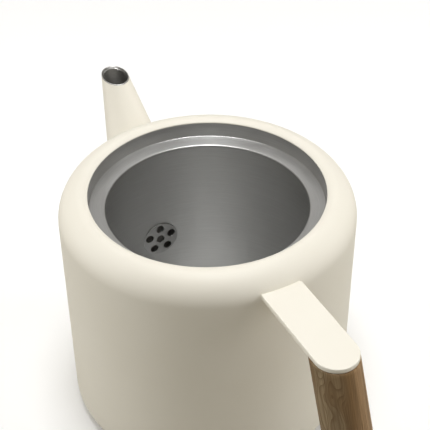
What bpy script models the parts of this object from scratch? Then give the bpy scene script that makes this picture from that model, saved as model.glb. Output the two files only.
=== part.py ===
"""Double-walled stovetop kettle with a strap-mounted wooden side grip and an open conical spout.

The body axis is Z and the kettle stands on z = 0. The grip is at +X, the spout at -X, and the
plane y = 0 is the plane of symmetry. Sheet-metal pieces are surfaces thickened with Solidify.
"""

import math

import bmesh
import bpy
from mathutils import Vector

MM = 0.001

# Body and mouth
BODY_RADIUS = 75.0 * MM
BODY_BOTTOM = 1.0 * MM
ARC_TOP = 130.5 * MM  # where the shoulder's arc would be level; the rim's dome is a little lower
SHOULDER_RADIUS = 14.4 * MM
SHOULDER_CORNER = 125.8 * MM
DOME_CORNER_RADIUS = 62.6 * MM
DOME_CORNER = 130.85 * MM
DOME_ROUND = 6.0 * MM
CORNER_RADIUS = 7.0 * MM
SHELL_SHEET = 0.8 * MM
MOUTH_RADIUS = 59.6 * MM
MOUTH_CORNER = 128.85 * MM
MOUTH_ROLL = 0.6 * MM
MOUTH_EDGE = 128.4 * MM
FLOOR_HOLE_RADIUS = 65.2 * MM
WELD_GAP = 0.3 * MM
BELOW_FLOOR = -20.0 * MM

# Lid seat
SEAT_SHEET = 0.8 * MM
SEAT_LEDGE = 120.2 * MM
SEAT_CORNER = 1.0 * MM
SEAT_INNER_RADIUS = 51.6 * MM
SEAT_LIP = 2.6 * MM
SEAT_LIP_ROLL = 1.2 * MM

# Inner vessel and base
VESSEL_RADIUS = 63.0 * MM
VESSEL_SHEET = 0.6 * MM
VESSEL_NECK_RADIUS = 53.2 * MM
VESSEL_SHOULDER = 7.0 * MM
VESSEL_CORNER = 8.0 * MM
CAP_RADIUS = 64.8 * MM
CAP_SHEET = 0.8 * MM
CAP_HEIGHT = 5.0 * MM
CAP_CORNER = 2.5 * MM
SPREADER_RADIUS = 63.2 * MM
SPREADER_THICKNESS = 4.0 * MM
SPREADER_EDGE = 0.8 * MM

# Size of the blocks that cut pieces flat
CUTTER_BLOCK = 60.0 * MM

# Spout: a cone about an axis that rises away from the body
SPOUT_RISE = math.radians(57.5)
SPOUT_TIP = Vector((-116.9, 0.0, 133.1)) * MM
SPOUT_TIP_RADIUS = 7.3 * MM
SPOUT_TAPER = 0.1855
SPOUT_SHEET = 0.6 * MM
SPOUT_CUT = math.radians(5.5)
SPOUT_LENGTH = 136.0 * MM
SPOUT_HOLE_MARGIN = 0.5 * MM
TUBE_SHEET = 0.5 * MM
TUBE_FLARE = 14.0 * MM
TUBE_BEND = 40.0 * MM
TUBE_LENGTH = 125.0 * MM
TUBE_LOW_RADIUS = 12.4 * MM
TIP_SPARE = 12.0 * MM

# Strainer
STRAINER_HEIGHT = 51.7 * MM
STRAINER_RADIUS = 10.5 * MM
STRAINER_SHEET = 0.8 * MM
STRAINER_FACE_X = -61.4 * MM
STRAINER_HOLE_RADIUS = 2.4 * MM
STRAINER_RING_RADIUS = 7.1 * MM
STRAINER_RING_HOLES = 5
STRAINER_PUNCH = 8.0 * MM

# Handle strap
STRAP_TOP = 121.7 * MM
STRAP_THICKNESS = 2.5 * MM
STRAP_HALF_WIDTH = 10.6 * MM
STRAP_END_CENTRE = 120.2 * MM
STRAP_ROOT = 62.0 * MM
STRAP_EDGE = 0.35 * MM
DOUBLER_SHEET = 1.5 * MM
DOUBLER_SPAN = math.radians(26.0)
DOUBLER_LOW = 102.0 * MM
DOUBLER_ARC = math.radians(55.0)

# Wooden grip, along an axis that leans outwards going down
GRIP_LEAN = math.radians(22.5)
GRIP_CENTRE = 119.3 * MM
GRIP_RADIUS = 11.2 * MM
GRIP_LENGTH = 96.0 * MM
GRIP_ROUND = 3.0 * MM
GRIP_SPARE = 8.0 * MM
BORE_RADIUS = 3.0 * MM
BOSS_RADIUS = 5.0 * MM
BOSS_LENGTH = 14.0 * MM
BOSS_BORE_RADIUS = 2.8 * MM
SCREW_RADIUS = 2.5 * MM
SCREW_TOP = 5.0 * MM
SCREW_CHAMFER = 0.5 * MM
HEAD_RADIUS = 4.5 * MM
HEAD_HEIGHT = 3.0 * MM
HEAD_ROUND = 0.8 * MM
HEX_RADIUS = 1.8 * MM
HEX_DEPTH = 1.8 * MM
WASHER_RADIUS = 5.4 * MM
WASHER_THICKNESS = 1.0 * MM
SPRING_RADIUS = 4.6 * MM
SPRING_THICKNESS = 1.2 * MM
SPRING_SPLIT = 0.8 * MM
WELL_RADIUS = 6.7 * MM
WELL_DEPTH = 12.0 * MM
PLUG_RADIUS = 6.4 * MM
PLUG_ROUND = 0.4 * MM
PIN_RADIUS = 1.5 * MM
PIN_OFFSET = -8.2 * MM
PIN_DEPTH = 9.0 * MM

# Fineness of the round pieces
BODY_STEPS = 56
PART_STEPS = 36
SMALL_STEPS = 20
HOLE_STEPS = 16
DOUBLER_STEPS = 8
DOUBLER_ARC_STEPS = 5
STRAP_CURVE_STEPS = 8
ARC_STEP = math.radians(22.5)

CREAM = ((0.86, 0.82, 0.71, 1.0), 0.55, 0.0)
STEEL = ((0.56, 0.56, 0.55, 1.0), 0.32, 1.0)
ALUMINIUM = ((0.80, 0.80, 0.80, 1.0), 0.40, 1.0)
WOOD = ((0.27, 0.17, 0.09, 1.0), 0.55, 0.0)
ZINC = ((0.62, 0.63, 0.64, 1.0), 0.35, 1.0)


def clear_scene():
    for obj in list(bpy.data.objects):
        bpy.data.objects.remove(obj, do_unlink=True)


def new_collection(name):
    collection = bpy.data.collections.new(name)
    bpy.context.scene.collection.children.link(collection)
    return collection


def make_material(name, look):
    colour, roughness, metallic = look
    material = bpy.data.materials.new(name)
    material.use_nodes = True
    shader = material.node_tree.nodes["Principled BSDF"]
    shader.inputs["Base Color"].default_value = colour
    shader.inputs["Roughness"].default_value = roughness
    shader.inputs["Metallic"].default_value = metallic
    return material


def add_part(mesh, name, look, parent=None):
    obj = bpy.data.objects.new(name, mesh)
    obj.parent = parent
    mesh.materials.append(make_material(name, look))
    parts.objects.link(obj)
    return obj


def add_cutter(mesh, name, parent=None):
    obj = bpy.data.objects.new(name, mesh)
    obj.parent = parent
    obj.hide_render = True
    obj.display_type = "WIRE"
    cutters.objects.link(obj)
    return obj


def add_empty(name, location, rotation):
    empty = bpy.data.objects.new(name, None)
    empty.location = location
    empty.rotation_euler = rotation
    parts.objects.link(empty)
    return empty


def cut(obj, cutter):
    boolean = obj.modifiers.new("Cut " + cutter.name, "BOOLEAN")
    boolean.operation = "DIFFERENCE"
    boolean.solver = "EXACT"
    boolean.object = cutter


def filleted(corners):
    """Turns (radius, height, fillet) corners into a profile whose corners are true arcs."""
    points = []
    last = len(corners) - 1
    for i, (r, z, fillet) in enumerate(corners):
        here = Vector((r, z))
        if fillet == 0 or i in (0, last):
            points.append(here)
            continue
        back = (Vector(corners[i - 1][:2]) - here).normalized()
        ahead = (Vector(corners[i + 1][:2]) - here).normalized()
        half = back.angle(ahead) / 2
        middle = here + (back + ahead).normalized() * fillet / math.sin(half)
        start = here + back * fillet / math.tan(half) - middle
        turn = math.pi - 2 * half
        if start.y * back.x < start.x * back.y:
            turn = -turn
        count = max(2, round(abs(turn) / ARC_STEP))
        for k in range(count + 1):
            a = turn * k / count
            x = start.x * math.cos(a) - start.y * math.sin(a)
            y = start.x * math.sin(a) + start.y * math.cos(a)
            points.append(middle + Vector((x, y)))
    return points


def profile_mesh(name, points, closed=False):
    mesh = bpy.data.meshes.new(name)
    edges = [(i, i + 1) for i in range(len(points) - 1)]
    if closed:
        edges.append((len(points) - 1, 0))
    mesh.from_pydata([(r, 0, z) for r, z in points], edges, [])
    return mesh


def turn_profile(obj, steps, angle=2 * math.pi):
    screw = obj.modifiers.new("Turn", "SCREW")
    screw.angle = angle
    screw.steps = steps
    screw.render_steps = steps
    screw.use_merge_vertices = True
    screw.merge_threshold = 0.00001
    screw.use_smooth_shade = True


def thicken(obj, thickness):
    """Gives a surface its sheet thickness, on the side away from its normals."""
    solidify = obj.modifiers.new("Sheet", "SOLIDIFY")
    solidify.thickness = thickness
    solidify.offset = -1
    solidify.use_even_offset = True


def smooth(mesh):
    mesh.shade_smooth()
    mesh.set_sharp_from_angle(angle=math.radians(35))
    return mesh


def cone_mesh(name, low_radius, high_radius, low, high, steps, caps):
    """A cone or cylinder about local Z from height low to height high."""
    bm = bmesh.new()
    bmesh.ops.create_cone(bm, cap_ends=caps, segments=steps, radius1=low_radius,
                          radius2=high_radius, depth=high - low)
    bmesh.ops.translate(bm, vec=(0, 0, (low + high) / 2), verts=bm.verts)
    mesh = bpy.data.meshes.new(name)
    bm.to_mesh(mesh)
    bm.free()
    return smooth(mesh)


def box_cutter(name, size):
    bm = bmesh.new()
    bmesh.ops.create_cube(bm, size=size)
    mesh = bpy.data.meshes.new(name)
    bm.to_mesh(mesh)
    bm.free()
    return add_cutter(mesh, name)


# Cutters that several pieces share

def body_clearance():
    """The space of the body, one weld gap proud of its outer face."""
    radius = BODY_RADIUS + WELD_GAP
    top = ARC_TOP + WELD_GAP
    corners = [(0, top, 0), (radius, top, SHOULDER_RADIUS + WELD_GAP), (radius, BELOW_FLOOR, 0),
               (0, BELOW_FLOOR, 0)]
    cutter = add_cutter(profile_mesh("body_clearance", filleted(corners)), "body_clearance")
    turn_profile(cutter, BODY_STEPS)
    return cutter


def vessel_clearance():
    radius = VESSEL_RADIUS + WELD_GAP
    mesh = cone_mesh("vessel_clearance", radius, radius, 0, ARC_TOP, BODY_STEPS, True)
    return add_cutter(mesh, "vessel_clearance")


def spout_tip_plane():
    """A block whose lower face is the level, slightly rising cut across the spout's mouth."""
    size = CUTTER_BLOCK
    cutter = box_cutter("spout_tip_plane", size)
    cutter.rotation_euler = (0, SPOUT_CUT, 0)
    lift = Vector((math.sin(SPOUT_CUT), 0, math.cos(SPOUT_CUT))) * size / 2
    cutter.location = SPOUT_TIP + lift
    return cutter


def strap_clearance():
    """A block whose lower face lies one weld gap under the strap."""
    size = CUTTER_BLOCK
    cutter = box_cutter("strap_clearance", size)
    cutter.location = (GRIP_CENTRE, 0, STRAP_TOP - STRAP_THICKNESS - WELD_GAP + size / 2)
    return cutter


# Body pieces

def outer_shell():
    corners = [(MOUTH_RADIUS, MOUTH_EDGE, 0), (MOUTH_RADIUS, MOUTH_CORNER, MOUTH_ROLL),
               (DOME_CORNER_RADIUS, DOME_CORNER, DOME_ROUND),
               (BODY_RADIUS, SHOULDER_CORNER, SHOULDER_RADIUS),
               (BODY_RADIUS, BODY_BOTTOM, CORNER_RADIUS), (FLOOR_HOLE_RADIUS, BODY_BOTTOM, 0)]
    shell = add_part(profile_mesh("outer_shell", filleted(corners)), "outer_shell", CREAM)
    turn_profile(shell, BODY_STEPS)
    thicken(shell, SHELL_SHEET)
    inset = SPOUT_SHEET + WELD_GAP + SPOUT_HOLE_MARGIN
    mesh = cone_mesh("spout_hole", spout_radius(SPOUT_LENGTH) - inset, spout_radius(0) - inset,
                     -SPOUT_LENGTH, 0, PART_STEPS, True)
    cut(shell, add_cutter(mesh, "spout_hole", spout_axis))
    return shell


def lid_seat_ring():
    inner = SEAT_INNER_RADIUS
    corners = [(inner, SEAT_LEDGE - SEAT_LIP, 0), (inner, SEAT_LEDGE, SEAT_LIP_ROLL),
               (MOUTH_RADIUS, SEAT_LEDGE, SEAT_CORNER), (MOUTH_RADIUS, MOUTH_EDGE - WELD_GAP, 0)]
    ring = add_part(profile_mesh("lid_seat_ring", filleted(corners)), "lid_seat_ring", STEEL)
    turn_profile(ring, BODY_STEPS)
    thicken(ring, SEAT_SHEET)
    return ring


def inner_vessel():
    under_ledge = SEAT_LEDGE - SEAT_SHEET - WELD_GAP
    floor = CAP_SHEET + SPREADER_THICKNESS + 2 * WELD_GAP
    corners = [(VESSEL_NECK_RADIUS, under_ledge, 0), (VESSEL_RADIUS, under_ledge, VESSEL_SHOULDER),
               (VESSEL_RADIUS, floor, VESSEL_CORNER), (0, floor, 0)]
    vessel = add_part(profile_mesh("inner_vessel", filleted(corners)), "inner_vessel", STEEL)
    turn_profile(vessel, BODY_STEPS)
    thicken(vessel, VESSEL_SHEET)
    radius = STRAINER_RADIUS + WELD_GAP
    mesh = cone_mesh("strainer_seat", radius, radius, -STRAINER_PUNCH, STRAINER_PUNCH,
                     PART_STEPS, True)
    seat = add_cutter(mesh, "strainer_seat")
    seat.location = (STRAINER_FACE_X, 0, STRAINER_HEIGHT)
    seat.rotation_euler = (0, math.pi / 2, 0)
    cut(vessel, seat)
    return vessel


def base_cap():
    corners = [(CAP_RADIUS, CAP_HEIGHT, 0), (CAP_RADIUS, 0, CAP_CORNER), (0, 0, 0)]
    cap = add_part(profile_mesh("base_cap", filleted(corners)), "base_cap", STEEL)
    turn_profile(cap, PART_STEPS)
    thicken(cap, CAP_SHEET)
    return cap


def heat_spreader():
    low = CAP_SHEET + WELD_GAP
    high = low + SPREADER_THICKNESS
    corners = [(0, high, 0), (SPREADER_RADIUS, high, SPREADER_EDGE),
               (SPREADER_RADIUS, low, CAP_CORNER), (0, low, 0)]
    disc = add_part(profile_mesh("heat_spreader", filleted(corners)), "heat_spreader", ALUMINIUM)
    turn_profile(disc, PART_STEPS)
    return disc


# Spout pieces, children of the spout's axis: its tip is at 0 and it runs down local Z

def spout_radius(distance):
    """Outer radius of the spout's cone at a distance down its axis from the tip."""
    return SPOUT_TIP_RADIUS + SPOUT_TAPER * distance


def spout_cone():
    mesh = cone_mesh("spout_cone", spout_radius(SPOUT_LENGTH), spout_radius(-TIP_SPARE),
                     -SPOUT_LENGTH, TIP_SPARE, PART_STEPS, False)
    cone = add_part(mesh, "spout_cone", CREAM, spout_axis)
    thicken(cone, SPOUT_SHEET)
    cut(cone, tip_plane)
    cut(cone, body_space)
    return cone


def pour_tube():
    """Follows the cone closely at the tip, then narrows less, down to the vessel's wall."""
    inset = SPOUT_SHEET + WELD_GAP
    corners = [(spout_radius(-TIP_SPARE) - inset, TIP_SPARE, 0),
               (spout_radius(TUBE_FLARE) - inset, -TUBE_FLARE, TUBE_BEND),
               (TUBE_LOW_RADIUS, -TUBE_LENGTH, 0)]
    mesh = profile_mesh("pour_tube", filleted(corners))
    tube = add_part(mesh, "pour_tube", STEEL, spout_axis)
    turn_profile(tube, PART_STEPS)
    thicken(tube, TUBE_SHEET)
    cut(tube, tip_plane)
    cut(tube, vessel_space)
    return tube


def strainer_disc():
    mesh = cone_mesh("strainer_disc", STRAINER_RADIUS, STRAINER_RADIUS, -STRAINER_SHEET, 0,
                     PART_STEPS, True)
    disc = add_part(mesh, "strainer_disc", STEEL)
    disc.location = (STRAINER_FACE_X, 0, STRAINER_HEIGHT)
    disc.rotation_euler = (0, math.pi / 2, 0)
    places = [(0.0, 0.0)]
    for k in range(STRAINER_RING_HOLES):
        a = math.pi + 2 * math.pi * k / STRAINER_RING_HOLES
        places.append((STRAINER_RING_RADIUS * math.cos(a), STRAINER_RING_RADIUS * math.sin(a)))
    for k, (x, y) in enumerate(places):
        name = f"strainer_hole_{k}"
        mesh = cone_mesh(name, STRAINER_HOLE_RADIUS, STRAINER_HOLE_RADIUS, -STRAINER_PUNCH,
                         STRAINER_PUNCH, HOLE_STEPS, True)
        hole = add_cutter(mesh, name, disc)
        hole.location = (x, y, 0)
        cut(disc, hole)
    return disc


# Handle pieces

def strap_outline():
    """Flat outline of the strap: two parallel edges and a half-round end."""
    curve = bpy.data.curves.new("strap_outline", "CURVE")
    curve.dimensions = "2D"
    curve.fill_mode = "BOTH"
    curve.extrude = STRAP_THICKNESS / 2
    curve.resolution_u = STRAP_CURVE_STEPS
    half = STRAP_HALF_WIDTH
    reach = half * 4 / 3 * math.tan(math.pi / 8)
    end = STRAP_END_CENTRE
    knots = [((STRAP_ROOT, -half), (0, 0), (0, 0)), ((end, -half), (0, 0), (reach, 0)),
             ((end + half, 0), (0, -reach), (0, reach)), ((end, half), (reach, 0), (0, 0)),
             ((STRAP_ROOT, half), (0, 0), (0, 0))]
    spline = curve.splines.new("BEZIER")
    spline.bezier_points.add(len(knots) - 1)
    spline.use_cyclic_u = True
    for knot, (place, before, after) in zip(spline.bezier_points, knots):
        knot.co = (*place, 0)
        knot.handle_left_type = "VECTOR" if before == (0, 0) else "FREE"
        knot.handle_right_type = "VECTOR" if after == (0, 0) else "FREE"
        knot.handle_left = (place[0] + before[0], place[1] + before[1], 0)
        knot.handle_right = (place[0] + after[0], place[1] + after[1], 0)
    return curve


def handle_strap():
    outline = bpy.data.objects.new("strap_outline", strap_outline())
    parts.objects.link(outline)
    bpy.context.view_layer.update()
    shape = outline.evaluated_get(bpy.context.evaluated_depsgraph_get())
    mesh = bpy.data.meshes.new_from_object(shape)
    bpy.data.objects.remove(outline)
    bm = bmesh.new()
    bm.from_mesh(mesh)
    bmesh.ops.remove_doubles(bm, verts=bm.verts, dist=0.00001)
    bm.to_mesh(mesh)
    bm.free()
    strap = add_part(smooth(mesh), "handle_strap", CREAM)
    strap.location = (0, 0, STRAP_TOP - STRAP_THICKNESS / 2)
    bevel = strap.modifiers.new("Edge", "BEVEL")
    bevel.width = STRAP_EDGE
    bevel.segments = 2
    bevel.limit_method = "ANGLE"
    bevel.angle_limit = math.radians(50)
    cut(strap, body_space)
    return strap


def strap_doubler():
    """A curved plate inside the shell behind the strap's root, which spreads the pull."""
    step_in = SHELL_SHEET + 2 * WELD_GAP
    radius = SHOULDER_RADIUS - step_in
    centre_r = BODY_RADIUS - SHOULDER_RADIUS
    centre_z = ARC_TOP - SHOULDER_RADIUS
    points = []
    for k in range(DOUBLER_ARC_STEPS + 1):
        a = DOUBLER_ARC * (1 - k / DOUBLER_ARC_STEPS)
        points.append((centre_r + radius * math.cos(a), centre_z + radius * math.sin(a)))
    points.append((centre_r + radius, DOUBLER_LOW))
    plate = add_part(profile_mesh("strap_doubler", points), "strap_doubler", STEEL)
    turn_profile(plate, DOUBLER_STEPS, DOUBLER_SPAN)
    thicken(plate, DOUBLER_SHEET)
    plate.rotation_euler = (0, 0, -DOUBLER_SPAN / 2)
    return plate


def turned_on_grip(name, look, corners, closed, steps=SMALL_STEPS):
    obj = add_part(profile_mesh(name, filleted(corners), closed), name, look, grip_axis)
    turn_profile(obj, steps)
    return obj


def ring_corners(outer, inner, high, low):
    return [(outer, high, 0), (outer, low, 0), (inner, low, 0), (inner, high, 0)]


def wood_grip():
    well_top = WELL_DEPTH - GRIP_LENGTH
    recess_radius = BOSS_RADIUS + WELD_GAP
    recess_low = -BOSS_LENGTH - WELD_GAP
    corners = [(GRIP_RADIUS, GRIP_SPARE, 0), (GRIP_RADIUS, -GRIP_LENGTH, GRIP_ROUND),
               (WELL_RADIUS, -GRIP_LENGTH, 0), (WELL_RADIUS, well_top, 0),
               (BORE_RADIUS, well_top, 0), (BORE_RADIUS, recess_low, 0),
               (recess_radius, recess_low, 0), (recess_radius, GRIP_SPARE, 0)]
    grip = turned_on_grip("wood_grip", WOOD, corners, True, PART_STEPS)
    radius = PIN_RADIUS + WELD_GAP
    mesh = cone_mesh("pin_hole", radius, radius, -PIN_DEPTH - WELD_GAP, 2 * GRIP_SPARE,
                     HOLE_STEPS, True)
    hole = add_cutter(mesh, "pin_hole", grip_axis)
    hole.location = (PIN_OFFSET, 0, 0)
    cut(grip, strap_space)
    cut(grip, hole)
    return grip


def grip_boss():
    boss = turned_on_grip("grip_boss", STEEL,
                          ring_corners(BOSS_RADIUS, BOSS_BORE_RADIUS, GRIP_SPARE, -BOSS_LENGTH), True)
    cut(boss, strap_space)
    return boss


def grip_pin():
    mesh = cone_mesh("grip_pin", PIN_RADIUS, PIN_RADIUS, -PIN_DEPTH, GRIP_SPARE, HOLE_STEPS, True)
    pin = add_part(mesh, "grip_pin", STEEL, grip_axis)
    pin.location = (PIN_OFFSET, 0, 0)
    cut(pin, strap_space)
    return pin


def grip_fasteners():
    """Washer, spring washer, screw and plug, stacked down the well at the grip's lower end."""
    washer_high = WELL_DEPTH - GRIP_LENGTH - WELD_GAP
    washer_low = washer_high - WASHER_THICKNESS
    spring_high = washer_low - WELD_GAP
    spring_low = spring_high - SPRING_THICKNESS
    head_high = spring_low - WELD_GAP
    head_low = head_high - HEAD_HEIGHT
    turned_on_grip("grip_washer", ZINC,
                   ring_corners(WASHER_RADIUS, BOSS_BORE_RADIUS, washer_high, washer_low), True)
    spring = turned_on_grip("grip_spring_washer", ZINC,
                            ring_corners(SPRING_RADIUS, BOSS_BORE_RADIUS, spring_high, spring_low),
                            True)
    split = box_cutter("spring_split", 1.0)
    split.parent = grip_axis
    split.scale = (2 * SPRING_RADIUS, SPRING_SPLIT, 4 * SPRING_THICKNESS)
    split.location = (SPRING_RADIUS + BOSS_BORE_RADIUS / 2, 0, spring_high)
    cut(spring, split)
    corners = [(0, -SCREW_TOP, 0), (SCREW_RADIUS - SCREW_CHAMFER, -SCREW_TOP, 0),
               (SCREW_RADIUS, -SCREW_TOP - SCREW_CHAMFER, 0), (SCREW_RADIUS, head_high, 0),
               (HEAD_RADIUS, head_high, 0), (HEAD_RADIUS, head_low, HEAD_ROUND), (0, head_low, 0)]
    screw = turned_on_grip("grip_screw", ZINC, corners, False)
    mesh = cone_mesh("hex_socket", HEX_RADIUS, HEX_RADIUS, head_low - HEX_DEPTH,
                     head_low + HEX_DEPTH, 6, True)
    cut(screw, add_cutter(mesh, "hex_socket", grip_axis))
    plug_high = head_low - 2 * WELD_GAP
    corners = [(0, plug_high, 0), (PLUG_RADIUS, plug_high, PLUG_ROUND),
               (PLUG_RADIUS, -GRIP_LENGTH, PLUG_ROUND), (0, -GRIP_LENGTH, 0)]
    turned_on_grip("grip_plug", WOOD, corners, False)


clear_scene()
parts = new_collection("side_handle_kettle")
cutters = new_collection("cutters")
spout_axis = add_empty("spout_axis", SPOUT_TIP, (0, SPOUT_RISE - math.pi / 2, 0))
grip_axis = add_empty("grip_axis", (GRIP_CENTRE, 0, STRAP_TOP - STRAP_THICKNESS),
                      (0, -GRIP_LEAN, 0))
body_space = body_clearance()
vessel_space = vessel_clearance()
tip_plane = spout_tip_plane()
strap_space = strap_clearance()

outer_shell()
lid_seat_ring()
inner_vessel()
base_cap()
heat_spreader()
spout_cone()
pour_tube()
strainer_disc()
handle_strap()
strap_doubler()
wood_grip()
grip_boss()
grip_pin()
grip_fasteners()
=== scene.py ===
import math
import bpy
from mathutils import Matrix, Vector


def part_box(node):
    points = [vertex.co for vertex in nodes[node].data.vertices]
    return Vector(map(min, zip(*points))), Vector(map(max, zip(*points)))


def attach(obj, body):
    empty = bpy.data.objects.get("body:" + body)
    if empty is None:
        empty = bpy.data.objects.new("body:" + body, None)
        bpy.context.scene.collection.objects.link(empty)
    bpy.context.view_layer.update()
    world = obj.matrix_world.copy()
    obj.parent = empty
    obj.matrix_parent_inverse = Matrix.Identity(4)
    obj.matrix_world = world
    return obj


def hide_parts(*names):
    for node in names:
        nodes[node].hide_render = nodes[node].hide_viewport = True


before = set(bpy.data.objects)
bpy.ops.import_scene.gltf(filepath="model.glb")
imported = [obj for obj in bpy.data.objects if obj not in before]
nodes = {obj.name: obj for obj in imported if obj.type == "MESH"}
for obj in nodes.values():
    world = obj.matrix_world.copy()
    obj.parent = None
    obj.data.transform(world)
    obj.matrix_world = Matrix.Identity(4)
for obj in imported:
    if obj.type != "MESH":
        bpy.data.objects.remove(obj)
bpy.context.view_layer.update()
mm = 0.001
fullTurn = 2 * math.pi
quarterReach = 4 / 3 * math.tan(math.pi / 8)  # handle length of a quarter circle of radius 1
creaseAngle = math.radians(40)
bevelCrease = math.radians(50)
noiseSpan = (0.3, 0.7)  # where most values of a noise lie


# Mesh helpers

fineArc = math.radians(6)


def rounded(corners, arcStep=fineArc):
    # (radius, height, fillet) corners become a profile with true arcs
    points = []
    for i, (r, z, fillet) in enumerate(corners):
        here = Vector((r, z))
        if fillet == 0:
            points.append(here)
            continue
        back = (Vector(corners[i - 1][:2]) - here).normalized()
        ahead = (Vector(corners[(i + 1) % len(corners)][:2]) - here).normalized()
        half = back.angle(ahead) / 2
        middle = here + (back + ahead).normalized() * fillet / math.sin(half)
        start = here + back * fillet / math.tan(half) - middle
        turn = math.pi - 2 * half
        if start.y * back.x < start.x * back.y:
            turn = -turn
        count = max(3, round(abs(turn) / arcStep))
        for k in range(count + 1):
            a = turn * k / count
            x = start.x * math.cos(a) - start.y * math.sin(a)
            y = start.x * math.sin(a) + start.y * math.cos(a)
            points.append(middle + Vector((x, y)))
    return points


def skin(name, rows, closed=False):
    # joins rings of equal length; a ring of one point is an end on the axis
    verts = []
    starts = []
    for row in rows:
        starts.append(len(verts))
        verts.extend(row)
    faces = []
    last = len(rows) if closed else len(rows) - 1
    for i in range(last):
        j = (i + 1) % len(rows)
        a, b = starts[i], starts[j]
        count = max(len(rows[i]), len(rows[j]))
        for k in range(count):
            n = (k + 1) % count
            if len(rows[i]) == 1:
                faces.append((a, b + k, b + n))
            elif len(rows[j]) == 1:
                faces.append((a + k, b, a + n))
            else:
                faces.append((a + k, b + k, b + n, a + n))
    mesh = bpy.data.meshes.new(name)
    mesh.from_pydata(verts, [], faces)
    mesh.shade_smooth()
    mesh.set_sharp_from_angle(angle=creaseAngle)
    obj = bpy.data.objects.new(name, mesh)
    bpy.context.scene.collection.objects.link(obj)
    return obj


def ring(radius, height, steps):
    if radius < 0.001 * mm:
        return [Vector((0, 0, height))]
    turn = [fullTurn * k / steps for k in range(steps)]
    return [Vector((radius * math.cos(a), radius * math.sin(a), height)) for a in turn]


def lathe(name, profile, steps):
    return skin(name, [ring(r, z, steps) for r, z in profile])


def applyAll(obj):
    # fixes the evaluated shape as the object's mesh
    bpy.context.view_layer.update()
    view = bpy.context.evaluated_depsgraph_get()
    mesh = bpy.data.meshes.new_from_object(obj.evaluated_get(view))
    obj.modifiers.clear()
    obj.data = mesh
    mesh.shade_smooth()
    mesh.set_sharp_from_angle(angle=creaseAngle)


def sheetMetal(obj, thickness):
    solid = obj.modifiers.new("sheet", "SOLIDIFY")
    solid.thickness = thickness
    solid.offset = -1
    solid.use_even_offset = True
    applyAll(obj)


def punchHole(obj, punch):
    hole = obj.modifiers.new("hole", "BOOLEAN")
    hole.object = punch
    hole.operation = "DIFFERENCE"
    applyAll(obj)
    bpy.data.objects.remove(punch)


def settle(obj, material, slot, *replaced):
    obj.data.materials.append(material)
    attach(obj, "root")
    if replaced:
        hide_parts(*replaced)
    return obj


# Shader helpers

def addNode(tree, kind, **settings):
    node = tree.nodes.new(kind)
    for key, value in settings.items():
        if hasattr(node, key):
            setattr(node, key, value)
        else:
            node.inputs[key.replace("_", " ")].default_value = value
    return node


def newGroup(name, inputs, outputs):
    group = bpy.data.node_groups.new(name, "ShaderNodeTree")
    for label, kind, value in inputs:
        socket = group.interface.new_socket(label, in_out="INPUT", socket_type=kind)
        if value is not None:
            socket.default_value = value
    for label, kind in outputs:
        group.interface.new_socket(label, in_out="OUTPUT", socket_type=kind)
    return group, group.nodes.new("NodeGroupInput"), group.nodes.new("NodeGroupOutput")


def placeGroup(tree, group, **values):
    node = tree.nodes.new("ShaderNodeGroup")
    node.node_tree = group
    for key, value in values.items():
        node.inputs[key].default_value = value
    return node


def mathNode(tree, operation, a, b=None, clamp=False):
    node = tree.nodes.new("ShaderNodeMath")
    node.operation = operation
    node.use_clamp = clamp
    for socket, value in zip(node.inputs, (a, b)):
        if value is None:
            continue
        if isinstance(value, (int, float)):
            socket.default_value = value
        else:
            tree.links.new(value, socket)
    return node.outputs[0]


def mixColour(tree, factor, a, b):
    node = tree.nodes.new("ShaderNodeMix")
    node.data_type = "RGBA"
    for socket, value in zip((node.inputs[0], node.inputs[6], node.inputs[7]), (factor, a, b)):
        if isinstance(value, (int, float, tuple)):
            socket.default_value = value
        else:
            tree.links.new(value, socket)
    return node.outputs[2]


def remap(tree, value, fromLow, fromHigh, toLow, toHigh):
    node = tree.nodes.new("ShaderNodeMapRange")
    tree.links.new(value, node.inputs[0])
    for socket, number in zip(node.inputs[1:5], (fromLow, fromHigh, toLow, toHigh)):
        socket.default_value = number
    return node.outputs[0]


# Effects that several materials share

def buildMottle():
    # slow, cloudy unevenness, about 0.5 on average
    group, inside, out = newGroup("mottle", [("Vector", "NodeSocketVector", None),
                                             ("Scale", "NodeSocketFloat", 30.0),
                                             ("Contrast", "NodeSocketFloat", 1.0)],
                                  [("Value", "NodeSocketFloat")])
    noise = addNode(group, "ShaderNodeTexNoise", Detail=4.0, Roughness=0.55)
    group.links.new(inside.outputs["Vector"], noise.inputs["Vector"])
    group.links.new(inside.outputs["Scale"], noise.inputs["Scale"])
    centred = mathNode(group, "SUBTRACT", noise.outputs[0], 0.5)
    scaled = mathNode(group, "MULTIPLY", centred, inside.outputs["Contrast"])
    group.links.new(mathNode(group, "ADD", scaled, 0.5, True), out.inputs["Value"])
    return group


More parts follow.
